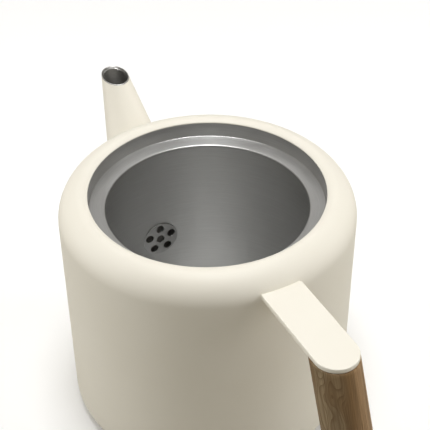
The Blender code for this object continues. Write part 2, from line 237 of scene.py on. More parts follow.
def buildGrainBump():
    # fine relief: two sizes of noise through a bump, for coating, casting and rolled sheet
    group, inside, out = newGroup("grainBump", [("Vector", "NodeSocketVector", None),
                                                ("Scale", "NodeSocketFloat", 900.0),
                                                ("Strength", "NodeSocketFloat", 0.1),
                                                ("Depth", "NodeSocketFloat", 0.0001)],
                                  [("Normal", "NodeSocketVector"), ("Height", "NodeSocketFloat")])
    coarse = addNode(group, "ShaderNodeTexNoise", Detail=2.0, Roughness=0.4)
    fine = addNode(group, "ShaderNodeTexNoise", Detail=3.0, Roughness=0.6)
    finer = mathNode(group, "MULTIPLY", inside.outputs["Scale"], 4.0)
    for noise in (coarse, fine):
        group.links.new(inside.outputs["Vector"], noise.inputs["Vector"])
    group.links.new(inside.outputs["Scale"], coarse.inputs["Scale"])
    group.links.new(finer, fine.inputs["Scale"])
    height = mathNode(group, "ADD", mathNode(group, "MULTIPLY", coarse.outputs[0], 0.75),
                      mathNode(group, "MULTIPLY", fine.outputs[0], 0.25))
    bump = addNode(group, "ShaderNodeBump")
    group.links.new(height, bump.inputs["Height"])
    group.links.new(inside.outputs["Strength"], bump.inputs["Strength"])
    group.links.new(inside.outputs["Depth"], bump.inputs["Distance"])
    group.links.new(bump.outputs[0], out.inputs["Normal"])
    group.links.new(height, out.inputs["Height"])
    return group


def buildRingBrush():
    # brush lines that run round local Z: noise drawn out along the angle
    group, inside, out = newGroup("ringBrush", [("Vector", "NodeSocketVector", None),
                                                ("Lines", "NodeSocketFloat", 3000.0),
                                                ("Sweep", "NodeSocketFloat", 3.0),
                                                ("Strength", "NodeSocketFloat", 0.1),
                                                ("Depth", "NodeSocketFloat", 0.00005)],
                                  [("Normal", "NodeSocketVector"), ("Streak", "NodeSocketFloat")])
    parts = addNode(group, "ShaderNodeSeparateXYZ")
    group.links.new(inside.outputs["Vector"], parts.inputs[0])
    x, y, z = parts.outputs
    squares = mathNode(group, "ADD", mathNode(group, "MULTIPLY", x, x),
                       mathNode(group, "MULTIPLY", y, y))
    radius = mathNode(group, "SQRT", squares)
    cosine = mathNode(group, "DIVIDE", x, radius)
    sine = mathNode(group, "DIVIDE", y, radius)
    across = mathNode(group, "MULTIPLY", mathNode(group, "ADD", radius, z), inside.outputs["Lines"])
    place = addNode(group, "ShaderNodeCombineXYZ")
    group.links.new(mathNode(group, "MULTIPLY", cosine, inside.outputs["Sweep"]), place.inputs[0])
    group.links.new(mathNode(group, "MULTIPLY", sine, inside.outputs["Sweep"]), place.inputs[1])
    group.links.new(across, place.inputs[2])
    noise = addNode(group, "ShaderNodeTexNoise", Scale=1.0, Detail=3.0, Roughness=0.65)
    group.links.new(place.outputs[0], noise.inputs["Vector"])
    bump = addNode(group, "ShaderNodeBump")
    group.links.new(noise.outputs[0], bump.inputs["Height"])
    group.links.new(inside.outputs["Strength"], bump.inputs["Strength"])
    group.links.new(inside.outputs["Depth"], bump.inputs["Distance"])
    group.links.new(bump.outputs[0], out.inputs["Normal"])
    group.links.new(noise.outputs[0], out.inputs["Streak"])
    return group


mottle = buildMottle()
grainBump = buildGrainBump()
ringBrush = buildRingBrush()


def newMaterial(name):
    material = bpy.data.materials.new(name)
    material.use_nodes = True
    tree = material.node_tree
    return material, tree, tree.nodes["Principled BSDF"]


def placeCoords(tree, matrix=None):
    # the piece's own coordinates, or those of a slanted axis
    coords = tree.nodes.new("ShaderNodeTexCoord")
    if matrix is None:
        return coords.outputs["Object"]
    turned = addNode(tree, "ShaderNodeMapping", vector_type="POINT")
    back = matrix.inverted()
    turned.inputs["Location"].default_value = back.to_translation()
    turned.inputs["Rotation"].default_value = back.to_euler()
    tree.links.new(coords.outputs["Object"], turned.inputs["Vector"])
    return turned.outputs[0]


coating = {
    "colour": (0.86, 0.825, 0.735, 1),
    "shade": (0.825, 0.785, 0.685, 1),
    "roughness": (0.43, 0.53),
    "peelScale": 700.0,
    "peelStrength": 0.12,
    "peelDepth": 0.00012,
    "cloudScale": 22.0,
    "cloudContrast": 1.4,
    "specular": 0.5,
}


def coatingMaterial(name, look):
    material, tree, shader = newMaterial(name)
    place = placeCoords(tree)
    cloud = placeGroup(tree, mottle, Scale=look["cloudScale"], Contrast=look["cloudContrast"])
    peel = placeGroup(tree, grainBump, Scale=look["peelScale"], Strength=look["peelStrength"],
                      Depth=look["peelDepth"])
    tree.links.new(place, cloud.inputs["Vector"])
    tree.links.new(place, peel.inputs["Vector"])
    colour = mixColour(tree, cloud.outputs["Value"], look["shade"], look["colour"])
    tree.links.new(colour, shader.inputs["Base Color"])
    low, high = look["roughness"]
    tree.links.new(remap(tree, peel.outputs["Height"], *noiseSpan, low, high),
                   shader.inputs["Roughness"])
    tree.links.new(peel.outputs["Normal"], shader.inputs["Normal"])
    shader.inputs["Specular IOR Level"].default_value = look["specular"]
    return material


steelMix = {"streak": 0.6, "cloud": 0.4, "cloudContrast": 1.6}


def steelMaterial(name, look, matrix=None):
    material, tree, shader = newMaterial(name)
    place = placeCoords(tree, matrix)
    brush = placeGroup(tree, ringBrush, Lines=look["lines"], Sweep=look["sweep"],
                       Strength=look["strength"], Depth=look["depth"])
    cloud = placeGroup(tree, mottle, Scale=look["cloudScale"], Contrast=steelMix["cloudContrast"])
    tree.links.new(place, brush.inputs["Vector"])
    tree.links.new(place, cloud.inputs["Vector"])
    streak = mathNode(tree, "MULTIPLY", brush.outputs["Streak"], steelMix["streak"])
    patch = mathNode(tree, "MULTIPLY", cloud.outputs["Value"], steelMix["cloud"])
    mixed = mathNode(tree, "ADD", streak, patch)
    colour = mixColour(tree, remap(tree, mixed, *noiseSpan, 0, 1), look["dark"], look["light"])
    tree.links.new(colour, shader.inputs["Base Color"])
    low, high = look["roughness"]
    tree.links.new(remap(tree, mixed, *noiseSpan, low, high), shader.inputs["Roughness"])
    tree.links.new(brush.outputs["Normal"], shader.inputs["Normal"])
    shader.inputs["Metallic"].default_value = 1.0
    if matrix is None:
        # the brush lines run round the body, so light spreads across them
        turn = addNode(tree, "ShaderNodeTangent", direction_type="RADIAL", axis="Z")
        tree.links.new(turn.outputs[0], shader.inputs["Tangent"])
        shader.inputs["Anisotropic"].default_value = look["anisotropy"]
        shader.inputs["Anisotropic Rotation"].default_value = 0.25
    return material


steelLooks = {
    "seatSteel": {"light": (0.74, 0.74, 0.735, 1), "dark": (0.62, 0.62, 0.615, 1),
                  "roughness": (0.33, 0.45), "anisotropy": 0.35, "lines": 2600.0, "sweep": 4.0,
                  "strength": 0.12, "depth": 0.00004, "cloudScale": 25.0},
    "vesselSteel": {"light": (0.81, 0.81, 0.8, 1), "dark": (0.71, 0.71, 0.7, 1),
                    "roughness": (0.4, 0.52), "anisotropy": 0.52, "lines": 1500.0, "sweep": 3.0,
                    "strength": 0.1, "depth": 0.00004, "cloudScale": 18.0},
    "strainerSteel": {"light": (0.66, 0.66, 0.65, 1), "dark": (0.56, 0.56, 0.55, 1),
                      "roughness": (0.36, 0.48), "lines": 900.0, "sweep": 3.0, "strength": 0.08,
                      "depth": 0.00004, "cloudScale": 120.0},
    # the pour tube's steel is darker than the vessel's: painted shade for the dark inside of the
    # spout
    "tubeSteelPaintedShade": {"light": (0.62, 0.615, 0.6, 1), "dark": (0.5, 0.495, 0.48, 1),
                  "roughness": (0.4, 0.5), "lines": 1800.0, "sweep": 3.0, "strength": 0.1,
                  "depth": 0.00004, "cloudScale": 60.0},
    "baseSteel": {"light": (0.58, 0.58, 0.575, 1), "dark": (0.46, 0.46, 0.455, 1),
                  "roughness": (0.28, 0.42), "anisotropy": 0.6, "lines": 1100.0, "sweep": 2.0,
                  "strength": 0.2, "depth": 0.00006, "cloudScale": 30.0},
    "innerSteel": {"light": (0.55, 0.55, 0.55, 1), "dark": (0.4, 0.4, 0.4, 1),
                   "roughness": (0.35, 0.5), "anisotropy": 0.3, "lines": 1400.0, "sweep": 3.0,
                   "strength": 0.1, "depth": 0.00004, "cloudScale": 80.0},
    "plateZinc": {"light": (0.66, 0.67, 0.68, 1), "dark": (0.5, 0.51, 0.53, 1),
                  "roughness": (0.3, 0.45), "lines": 2200.0, "sweep": 6.0, "strength": 0.08,
                  "depth": 0.00003, "cloudScale": 300.0},
    "rolledAluminium": {"light": (0.8, 0.8, 0.8, 1), "dark": (0.7, 0.7, 0.7, 1),
                        "roughness": (0.35, 0.5), "anisotropy": 0.2, "lines": 900.0, "sweep": 1.0,
                        "strength": 0.1, "depth": 0.00005, "cloudScale": 40.0},
}

spoutLine = {
    "tip": Vector((-116.9, 0, 133.1)) * mm,
    "rise": math.radians(57.5),
    "tipRadius": 7.3 * mm,
    "taper": 0.1855,
    "cut": math.radians(5.5),
    "lipReach": 0.7 * mm,
    "lipFade": 5.0 * mm,
    "lipSharpness": 3,
    "holeInset": 1.4 * mm,
    "holeReach": (20 * mm, 136 * mm),
    "searchReach": (20 * mm, 150 * mm),
    "searchSteps": 30,
    "steps": 128,
}
spoutMatrix = (Matrix.Translation(spoutLine["tip"])
               @ Matrix.Rotation(spoutLine["rise"] - math.pi / 2, 4, "Y"))

gripLine = {
    "lean": math.radians(22.5),
    "centre": 119.3 * mm,
    "top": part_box("handle_strap")[0].z,
    "radius": 11.2 * mm,
    "length": 96.0 * mm,
    "steps": 96,
}
gripMatrix = (Matrix.Translation((gripLine["centre"], 0, gripLine["top"]))
              @ Matrix.Rotation(-gripLine["lean"], 4, "Y"))

wood = {
    "faceTurn": math.radians(70),
    "pithAway": 60 * mm,
    "ringsPerMetre": 1500.0,
    "wander": 4.6 * mm,
    "lean": 0.05,
    "lateCurve": 2.6,
    "swingNoise": (0.35, 110.0, 1.0),  # draw along the grain, scale, detail
    "fibreNoise": (0.03, 1700.0, 3.0),
    "streakNoise": (0.02, 425.0, 2.0),
    "cloudScale": 60.0,
    "cloudContrast": 1.5,
    "flatFace": (-2 * mm, 9 * mm, 0.18, 1.0),
    "lateShare": (0, 1, 0.5, 1.0),  # from low, from high, to low, to high
    "streakTint": (0.42, 0.68, 0, 0.6),
    "fibreTint": (0.4, 0.75, 0, 0.45),
    "poreTint": (0.64, 0.72, 0, 0.6),
    # colour by distance from the pith: the palest band, near 52 mm, is painted light along the
    # grip's side towards +y; the other bands are the wood's own tone
    "toneAndPaintedLightBands": ((52 * mm, (0.50, 0.35, 0.21)), (60.5 * mm, (0.41, 0.26, 0.135)),
              (65.5 * mm, (0.215, 0.125, 0.052)), (68.5 * mm, (0.225, 0.145, 0.07)),
              (70.5 * mm, (0.3, 0.225, 0.13)), (72 * mm, (0.34, 0.26, 0.155))),
    "late": (0.115, 0.066, 0.028, 1),
    "pore": (0.075, 0.042, 0.019, 1),
    "roughness": (0.5, 0.68),
    "fibreHeight": 0.4,
    "bumpStrength": 0.3,
    "bumpDepth": 0.00012,
    "specular": 0.3,
}


def woodMaterial(name, look, matrix):
    material, tree, shader = newMaterial(name)
    link = tree.links.new
    place = placeCoords(tree, matrix)
    fromPith = addNode(tree, "ShaderNodeMapping", vector_type="POINT")
    fromPith.inputs["Location"].default_value = (look["pithAway"], 0, 0)
    fromPith.inputs["Rotation"].default_value = (0, 0, look["faceTurn"])
    link(place, fromPith.inputs["Vector"])
    parts = addNode(tree, "ShaderNodeSeparateXYZ")
    link(fromPith.outputs[0], parts.inputs[0])
    x, y, z = parts.outputs
    away = mathNode(tree, "SQRT", mathNode(tree, "ADD", mathNode(tree, "MULTIPLY", x, x),
                                           mathNode(tree, "MULTIPLY", y, y)))

    def stretchedNoise(along, scale, detail):
        # noise drawn out along the grain
        drawn = addNode(tree, "ShaderNodeMapping", vector_type="POINT")
        drawn.inputs["Scale"].default_value = (1, 1, along)
        link(place, drawn.inputs["Vector"])
        noise = addNode(tree, "ShaderNodeTexNoise", Scale=scale, Detail=detail, Roughness=0.6)
        link(drawn.outputs[0], noise.inputs["Vector"])
        return noise.outputs[0]

    # annual rings round a pith that lies outside the grip; they wander most on the flat-sawn face
    nearSide, farSide, leastSwing, mostSwing = look["flatFace"]
    flatFace = remap(tree, x, look["pithAway"] + nearSide, look["pithAway"] + farSide,
                     leastSwing, mostSwing)
    fullSwing = remap(tree, stretchedNoise(*look["swingNoise"]), 0, 1,
                      -look["wander"], look["wander"])
    swing = mathNode(tree, "MULTIPLY", fullSwing, flatFace)
    rings = mathNode(tree, "ADD", mathNode(tree, "ADD", away, swing),
                     mathNode(tree, "MULTIPLY", z, look["lean"]))
    phase = mathNode(tree, "FRACT", mathNode(tree, "MULTIPLY", rings, look["ringsPerMetre"]))
    late = mathNode(tree, "POWER", phase, look["lateCurve"])
    fibre = stretchedNoise(*look["fibreNoise"])
    streak = stretchedNoise(*look["streakNoise"])
    cloud = placeGroup(tree, mottle, Scale=look["cloudScale"], Contrast=look["cloudContrast"])
    link(place, cloud.inputs["Vector"])
    # wood tone across the grip, with painted light on its side towards +y
    ramp = tree.nodes.new("ShaderNodeValToRGB")
    low, high = look["toneAndPaintedLightBands"][0][0], look["toneAndPaintedLightBands"][-1][0]
    stops = ramp.color_ramp.elements
    stops[0].color = (*look["toneAndPaintedLightBands"][0][1], 1)
    stops[1].color = (*look["toneAndPaintedLightBands"][-1][1], 1)
    for distance, colour in look["toneAndPaintedLightBands"][1:-1]:
        stops.new((distance - low) / (high - low)).color = (*colour, 1)
    link(remap(tree, mathNode(tree, "ADD", away, swing), low, high, 0, 1), ramp.inputs[0])
    patchy = remap(tree, cloud.outputs["Value"], *look["lateShare"])
    lateShare = mathNode(tree, "MULTIPLY", late, patchy)
    ringed = mixColour(tree, lateShare, ramp.outputs[0], look["late"])
    streaked = mixColour(tree, remap(tree, streak, *look["streakTint"]), ringed, look["late"])
    grained = mixColour(tree, remap(tree, fibre, *look["fibreTint"]), streaked, look["late"])
    poreMask = remap(tree, fibre, *look["poreTint"])
    link(mixColour(tree, poreMask, grained, look["pore"]), shader.inputs["Base Color"])
    low, high = look["roughness"]
    link(remap(tree, fibre, *noiseSpan, low, high), shader.inputs["Roughness"])
    raised = mathNode(tree, "MULTIPLY", fibre, look["fibreHeight"])
    height = mathNode(tree, "SUBTRACT", raised, poreMask)
    bump = addNode(tree, "ShaderNodeBump", Strength=look["bumpStrength"],
                   Distance=look["bumpDepth"])
    link(height, bump.inputs["Height"])
    link(bump.outputs[0], shader.inputs["Normal"])
    shader.inputs["Specular IOR Level"].default_value = look["specular"]
    return material


creamCoat = coatingMaterial("creamCoat", coating)
seatSteel = steelMaterial("seatSteel", steelLooks["seatSteel"])
vesselSteel = steelMaterial("vesselSteel", steelLooks["vesselSteel"])
baseSteel = steelMaterial("baseSteel", steelLooks["baseSteel"])
innerSteel = steelMaterial("innerSteel", steelLooks["innerSteel"])
rolledAluminium = steelMaterial("rolledAluminium", steelLooks["rolledAluminium"])
tubeSteelPaintedShade = steelMaterial("tubeSteelPaintedShade", steelLooks["tubeSteelPaintedShade"], spoutMatrix)
plateZinc = steelMaterial("plateZinc", steelLooks["plateZinc"], gripMatrix)
gripWood = woodMaterial("gripWood", wood, gripMatrix)
print("materials made")


# Body

body = {
    "sheet": 0.8 * mm,
    "shoulder": 14.4 * mm,
    "shoulderCorner": 125.8 * mm,
    "corner": 7.0 * mm,
    "domeCorner": (62.6 * mm, 130.85 * mm),
    "domeRound": 6.0 * mm,
    "mouth": 59.6 * mm,
    "mouthCorner": 128.85 * mm,
    "mouthEdge": 128.4 * mm,
    "roll": 0.6 * mm,
    "floorHole": 65.2 * mm,
    "spacing": 9 * mm,
    "steps": 256,
}
shellLow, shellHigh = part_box("outer_shell")
bodyRadius = shellHigh.y


def spaced(profile, longest):
    # splits long straight stretches, so that cuts and shading stay local
    out = [profile[0]]
    for a, b in zip(profile, profile[1:]):
        count = max(1, math.ceil((b - a).length / longest))
        for k in range(1, count + 1):
            out.append(a.lerp(b, k / count))
    return out


def coneRadius(distance):
    return spoutLine["tipRadius"] + spoutLine["taper"] * distance


def makeShell():
    corners = [(body["mouth"], body["mouthEdge"], 0),
               (body["mouth"], body["mouthCorner"], body["roll"]),
               (*body["domeCorner"], body["domeRound"]),
               (bodyRadius, body["shoulderCorner"], body["shoulder"]),
               (bodyRadius, shellLow.z, body["corner"]), (body["floorHole"], shellLow.z, 0)]
    shell = lathe("bodyShell", spaced(rounded(corners), body["spacing"]), body["steps"])
    sheetMetal(shell, body["sheet"])
    # the hole under the spout, a little smaller than the spout's foot
    rims, ends = [], []
    for distance in spoutLine["holeReach"]:
        row = ring(coneRadius(distance) - spoutLine["holeInset"], -distance, spoutLine["steps"])
        rims.append([spoutMatrix @ p for p in row])
        ends.append([spoutMatrix @ Vector((0, 0, -distance))])
    punchHole(shell, skin("punch", [ends[0], *rims, ends[1]]))
    return settle(shell, creamCoat, "coating", "outer_shell")


seat = {"ledge": 120.2 * mm, "slope": 0.6 * mm, "inner": 51.25 * mm, "lip": 1.3 * mm,
        "lipRoll": 0.8 * mm, "corner": 0.5 * mm, "sheet": 0.8 * mm, "topGap": 0.02 * mm,
        "arcStep": math.radians(9), "spacing": 4 * mm, "steps": 256}


def makeSeat():
    top = body["mouthEdge"] - seat["topGap"]
    ledge = seat["ledge"]
    inner = ledge - seat["slope"]
    corners = [(seat["inner"], inner - seat["lip"], 0), (seat["inner"], inner, seat["lipRoll"]),
               (body["mouth"], ledge, seat["corner"]), (body["mouth"], top, 0)]
    profile = spaced(rounded(corners, seat["arcStep"]), seat["spacing"])
    piece = lathe("lidSeat", profile, seat["steps"])
    sheetMetal(piece, seat["sheet"])
    return settle(piece, seatSteel, "steel", "lid_seat_ring")


vessel = {"neck": 53.2 * mm, "shoulder": 7.0 * mm, "corner": 8.0 * mm, "sheet": 0.6 * mm,
          "spacing": 4 * mm, "steps": 256}
strainer = {"radius": 10.5 * mm, "gap": 0.04 * mm, "thick": 0.8 * mm, "edge": 0.12 * mm,
            "sink": 0.18 * mm, "hole": 2.4 * mm, "ring": 7.1 * mm, "count": 5,
            "firstHole": math.pi, "resolution": 16, "edgeSteps": 2,
            "punchReach": 8 * mm, "punchSteps": 96}


def makeVessel():
    low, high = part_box("inner_vessel")
    radius = high.y
    top = high.z - seat["slope"]
    corners = [(vessel["neck"], top, 0), (radius, top, vessel["shoulder"]),
               (radius, low.z, vessel["corner"]), (0, low.z, 0)]
    pot = lathe("innerPot", spaced(rounded(corners), vessel["spacing"]), vessel["steps"])
    sheetMetal(pot, vessel["sheet"])
    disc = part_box("strainer_disc")
    middle = (disc[0] + disc[1]) / 2
    rims, ends = [], []
    for dx in (strainer["punchReach"], -strainer["punchReach"]):
        row = ring(strainer["radius"] + strainer["gap"], 0, strainer["punchSteps"])
        rims.append([Vector((dx, p.x, p.y)) + middle for p in row])
        ends.append([Vector((dx, 0, 0)) + middle])
    punchHole(pot, skin("punch", [ends[0], *rims, ends[1]]))
    return settle(pot, vesselSteel, "steel", "inner_vessel")


def circleSpline(curve, x, y, radius):
    spline = curve.splines.new("BEZIER")
    spline.bezier_points.add(3)
    spline.use_cyclic_u = True
    reach = radius * quarterReach
    for k, knot in enumerate(spline.bezier_points):
        a = fullTurn * k / 4
        out = Vector((math.cos(a), math.sin(a), 0))
        along = Vector((-math.sin(a), math.cos(a), 0))
        knot.co = Vector((x, y, 0)) + out * radius
        knot.handle_left = knot.co - along * reach
        knot.handle_right = knot.co + along * reach


def curveToMesh(curve, matrix):
    obj = bpy.data.objects.new(curve.name, curve)
    bpy.context.scene.collection.objects.link(obj)
    bpy.context.view_layer.update()
    view = bpy.context.evaluated_depsgraph_get()
    mesh = bpy.data.meshes.new_from_object(obj.evaluated_get(view))
    bpy.data.objects.remove(obj)
    mesh.transform(matrix)
    mesh.shade_smooth()
    mesh.set_sharp_from_angle(angle=bevelCrease)
    made = bpy.data.objects.new(curve.name, mesh)
    bpy.context.scene.collection.objects.link(made)
    return made


def makeStrainer():
    low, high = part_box("strainer_disc")
    middle = (low + high) / 2
    middle.x -= strainer["sink"]
    turn = Matrix.Translation(middle) @ Matrix.Rotation(math.pi / 2, 4, "Y")
    curve = bpy.data.curves.new("strainerPlate", "CURVE")
    curve.dimensions = "2D"
    curve.fill_mode = "BOTH"
    curve.resolution_u = strainer["resolution"]
    curve.extrude = strainer["thick"] / 2 - strainer["edge"]
    curve.bevel_depth = strainer["edge"]
    curve.bevel_resolution = strainer["edgeSteps"]
    curve.offset = -strainer["edge"]
    circleSpline(curve, 0, 0, strainer["radius"])
    circleSpline(curve, 0, 0, strainer["hole"])
    for k in range(strainer["count"]):
        a = strainer["firstHole"] + fullTurn * k / strainer["count"]
        x, y = strainer["ring"] * math.cos(a), strainer["ring"] * math.sin(a)
        circleSpline(curve, x, y, strainer["hole"])
    plate = curveToMesh(curve, turn)
    steel = steelMaterial("strainerSteel", steelLooks["strainerSteel"], turn)
    return settle(plate, steel, "steel", "strainer_disc")


base = {"corner": 2.5 * mm, "sheet": 0.8 * mm, "spacing": 12 * mm, "steps": 192}


def makeBase():
    low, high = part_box("base_cap")
    corners = [(high.x, high.z, 0), (high.x, low.z, base["corner"]), (0, low.z, 0)]
    cap = lathe("basePlate", spaced(rounded(corners), base["spacing"]), base["steps"])
    sheetMetal(cap, base["sheet"])
    return settle(cap, baseSteel, "steel", "base_cap")


makeShell()
makeSeat()
makeVessel()
makeStrainer()
makeBase()
print("body made")


# Spout

def tipDistance(angle, inset):
    # how far down the axis the level cut meets the cone at this angle
    slope = math.tan(math.pi / 2 - spoutLine["rise"] + spoutLine["cut"]) * math.cos(angle)
    return slope * (spoutLine["tipRadius"] - inset) / (1 - slope * spoutLine["taper"])


def spoutPoint(angle, distance, inset):
    r = coneRadius(distance) - inset
    point = spoutMatrix @ Vector((r * math.cos(angle), r * math.sin(angle), -distance))
    # under the pouring lip the front of the cone draws in a little
    outward = max(0.0, -math.cos(angle)) ** spoutLine["lipSharpness"]
    below = max(0.0, distance - tipDistance(angle, 0))
    drawn = spoutLine["lipReach"] * outward * (1 - math.exp(-below / spoutLine["lipFade"]))
    return point + Vector((drawn, 0, 0))


def wallDistance(angle, radius, insetAt):
    # how far down the axis this side of the cone or tube meets an upright wall
    near, far = spoutLine["searchReach"]
    for _ in range(spoutLine["searchSteps"]):
        middle = (near + far) / 2
        point = spoutPoint(angle, middle, insetAt(middle))
        if math.hypot(point.x, point.y) > radius:
            near = middle
        else:
            far = middle
    return near


def spoutAngles():
    return [fullTurn * k / spoutLine["steps"] for k in range(spoutLine["steps"])]


cone = {"sheet": 0.45 * mm, "rimDrop": 0.45 * mm, "fillet": 3.0 * mm, "filletStart": 3.9 * mm,
        "footInset": 0.4 * mm, "rows": 16, "filletRows": 7}


def makeCone():
    columns = []
    for angle in spoutAngles():
        top = tipDistance(angle, 0) + cone["rimDrop"]
        foot = wallDistance(angle, bodyRadius, lambda s: 0)
        seam = spoutPoint(angle, foot, 0)
        out = spoutMatrix.to_3x3() @ Vector((math.cos(angle), math.sin(angle), 0))
        normal = Vector((seam.x, seam.y, 0)).normalized()
        along = (out - normal * out.dot(normal)).normalized()
        landed = seam + along * cone["fillet"]
        flat = Vector((landed.x, landed.y, 0)).normalized() * bodyRadius
        landed = Vector((flat.x, flat.y, landed.z))
        bend = foot - cone["filletStart"]
        column = [spoutPoint(angle, top + (bend - top) * k / cone["rows"], 0)
                  for k in range(cone["rows"] + 1)]
        start = column[-1]
        for k in range(1, cone["filletRows"] + 1):
            t = k / cone["filletRows"]
            column.append(start * (1 - t) ** 2 + seam * 2 * t * (1 - t) + landed * t ** 2)
        inner = wallDistance(angle, bodyRadius - cone["footInset"], lambda s: cone["sheet"])
        column += [spoutPoint(angle, inner + (top - inner) * k / cone["rows"], cone["sheet"])
                   for k in range(cone["rows"] + 1)]
        columns.append(column)
    rows = [list(row) for row in zip(*columns)]
    piece = skin("spoutCone", rows, closed=True)
    return settle(piece, creamCoat, "coating", "spout_cone")


tube = {"gap": 0.6 * mm, "wall": 0.5 * mm, "flare": 14.0 * mm, "lowRadius": 12.4 * mm,
        "lowAt": 125.0 * mm, "wallGap": 0.3 * mm, "rows": 22, "lipStart": 1.6 * mm,
        # the rolled lip from the inside over the edge: how far below the tip, how far inside
        "lipRoll": ((0.9, 0.75), (0.3, 0.5), (0.08, 0.42), (0.0, 0.3), (0.0, 0.16),
                    (0.08, 0.04), (0.2, 0.0), (0.42, 0.0), (0.5, 0.3), (0.9, 0.6))}


def tubeInset(distance):
    # the tube follows the cone at first, and then stays narrower
    if distance <= tube["flare"]:
        return tube["gap"]
    start = coneRadius(tube["flare"]) - tube["gap"]
    share = (distance - tube["flare"]) / (tube["lowAt"] - tube["flare"])
    return coneRadius(distance) - (start + (tube["lowRadius"] - start) * share)


def makeTube():
    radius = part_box("inner_vessel")[1].y
    columns = []
    for angle in spoutAngles():
        end = wallDistance(angle, radius + tube["wallGap"], tubeInset)
        start = tipDistance(angle, 0) + tube["lipStart"]
        inside = [end + (start - end) * k / tube["rows"] for k in range(tube["rows"] + 1)]
        column = [spoutPoint(angle, s, tubeInset(s) + tube["wall"]) for s in inside]
        column += [spoutPoint(angle, tipDistance(angle, inset * mm) + drop * mm, inset * mm)
                   for drop, inset in tube["lipRoll"]]
        column += [spoutPoint(angle, s, tubeInset(s)) for s in reversed(inside)]
        columns.append(column)
    rows = [list(row) for row in zip(*columns)]
    piece = skin("pourTube", rows, closed=True)
    return settle(piece, tubeSteelPaintedShade, "steel", "pour_tube")


makeCone()
makeTube()
print("spout made")


# Handle

strap = {"halfWidth": 10.6 * mm, "endCentre": 120.2 * mm, "rootRadius": 75.0 * mm,
         "edge": 0.4 * mm, "sidePull": 20 * mm, "resolution": 24, "edgeSteps": 3}


def makeStrap():
    low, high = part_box("handle_strap")
    thick = high.z - low.z
    half = strap["halfWidth"]
    reach = half * quarterReach
    end = strap["endCentre"]
    root = math.sqrt(strap["rootRadius"] ** 2 - half ** 2)
    rootAngle = math.asin(half / strap["rootRadius"])
    rootReach = strap["rootRadius"] * 4 / 3 * math.tan(rootAngle / 2)
    rootPull = Vector((math.sin(rootAngle), math.cos(rootAngle), 0)) * rootReach
    sidePull = Vector((strap["sidePull"], 0, 0))
    knots = [((root, -half), rootPull, sidePull),
             ((end, -half), -sidePull, Vector((reach, 0, 0))),
             ((end + half, 0), Vector((0, -reach, 0)), Vector((0, reach, 0))),
             ((end, half), Vector((reach, 0, 0)), -sidePull),
             ((root, half), sidePull, Vector((rootPull.x, -rootPull.y, 0)))]
    curve = bpy.data.curves.new("strapBar", "CURVE")
    curve.dimensions = "2D"
    curve.fill_mode = "BOTH"
    curve.resolution_u = strap["resolution"]
    curve.extrude = thick / 2 - strap["edge"]
    curve.bevel_depth = strap["edge"]
    curve.bevel_resolution = strap["edgeSteps"]
    curve.offset = -strap["edge"]
    spline = curve.splines.new("BEZIER")
    spline.bezier_points.add(len(knots) - 1)
    spline.use_cyclic_u = True
    for knot, (place, before, after) in zip(spline.bezier_points, knots):
        knot.co = (*place, 0)
        knot.handle_left = knot.co + before
        knot.handle_right = knot.co + after
    bar = curveToMesh(curve, Matrix.Translation((0, 0, (low.z + high.z) / 2)))
    return settle(bar, creamCoat, "coating", "handle_strap")


neck = {"inset": 0.45 * mm, "wall": 0.5 * mm, "inward": 1.6 * mm, "outward": 2.4 * mm,
        "cornerSteps": 5}


def makeNeck():
    # the strap's rounded root leaves a fine groove at the body; this narrower neck fills its depth
    low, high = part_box("handle_strap")
    rows = []
    inward, outward, wall = -neck["inward"], neck["outward"], neck["wall"]
    for inset, forward in ((0, inward), (0, outward), (wall, outward), (wall, inward)):
        shrink = neck["inset"] + inset
        half = strap["halfWidth"] - shrink - strap["edge"]
        top, bottom = high.z - shrink - strap["edge"], low.z + shrink + strap["edge"]
        row = []
        for turn, (y, z) in enumerate(((half, top), (-half, top), (-half, bottom), (half, bottom))):
            for i in range(neck["cornerSteps"]):
                a = (turn + i / (neck["cornerSteps"] - 1)) * math.pi / 2
                side = y + strap["edge"] * math.cos(a)
                height = z + strap["edge"] * math.sin(a)
                away = math.sqrt(strap["rootRadius"] ** 2 - side ** 2) + forward
                row.append(Vector((away, side, height)))
        rows.append(row)
    piece = skin("strapNeck", rows, closed=True)
    return settle(piece, creamCoat, "coating")


grip = {"round": 3.0 * mm, "topGap": 0.03 * mm, "recess": 5.3 * mm, "recessDepth": 14.3 * mm,
        "bore": 3.0 * mm, "well": 6.55 * mm, "wellDepth": 12.0 * mm, "wellEdge": 0.5 * mm,
        "topEdge": 0.25 * mm, "firstRow": 6 * mm, "lastRow": 10 * mm, "spacing": 8 * mm,
        "arcStep": math.radians(10)}


def gripRing(radius, height, steps):
    # a ring across the grip; without a height it lies in the plane under the strap
    points = []
    for p in ring(radius, 0, steps):
        z = -p.x * math.tan(gripLine["lean"]) - grip["topGap"] if height is None else height
        points.append(gripMatrix @ Vector((p.x, p.y, z)))
    return points


def makeGrip():
    length = gripLine["length"]
    radius = gripLine["radius"]
    wellTop = grip["wellDepth"] - length
    recessLow = -grip["recessDepth"]
    side = [(radius, -grip["firstRow"], 0), (radius, -length, grip["round"]),
            (grip["well"], -length, grip["wellEdge"]), (grip["well"], wellTop, 0),
            (grip["bore"], wellTop, 0), (grip["bore"], recessLow, 0),
            (grip["recess"], recessLow, 0), (grip["recess"], -grip["lastRow"], 0)]
    outline = spaced(rounded(side, grip["arcStep"]), grip["spacing"])
    edge = grip["topEdge"]
    profile = [(radius - edge, None)]
    profile += [(p.x, p.y) for p in outline] + [(grip["recess"], None)]
    rows = [gripRing(r, z, gripLine["steps"]) for r, z in profile]
    rim = [Vector(p) for p in gripRing(radius, None, gripLine["steps"])]
    drop = gripMatrix.to_3x3() @ Vector((0, 0, -edge))
    rows.insert(1, [p + drop for p in rim])
    piece = skin("gripWood", rows, closed=True)
    return settle(piece, gripWood, "wood", "wood_grip")


plug = {"radius": 6.4 * mm, "thick": 5.3 * mm, "dome": 0.35 * mm, "edge": 0.5 * mm,
        "arcStep": math.radians(15), "steps": 64}


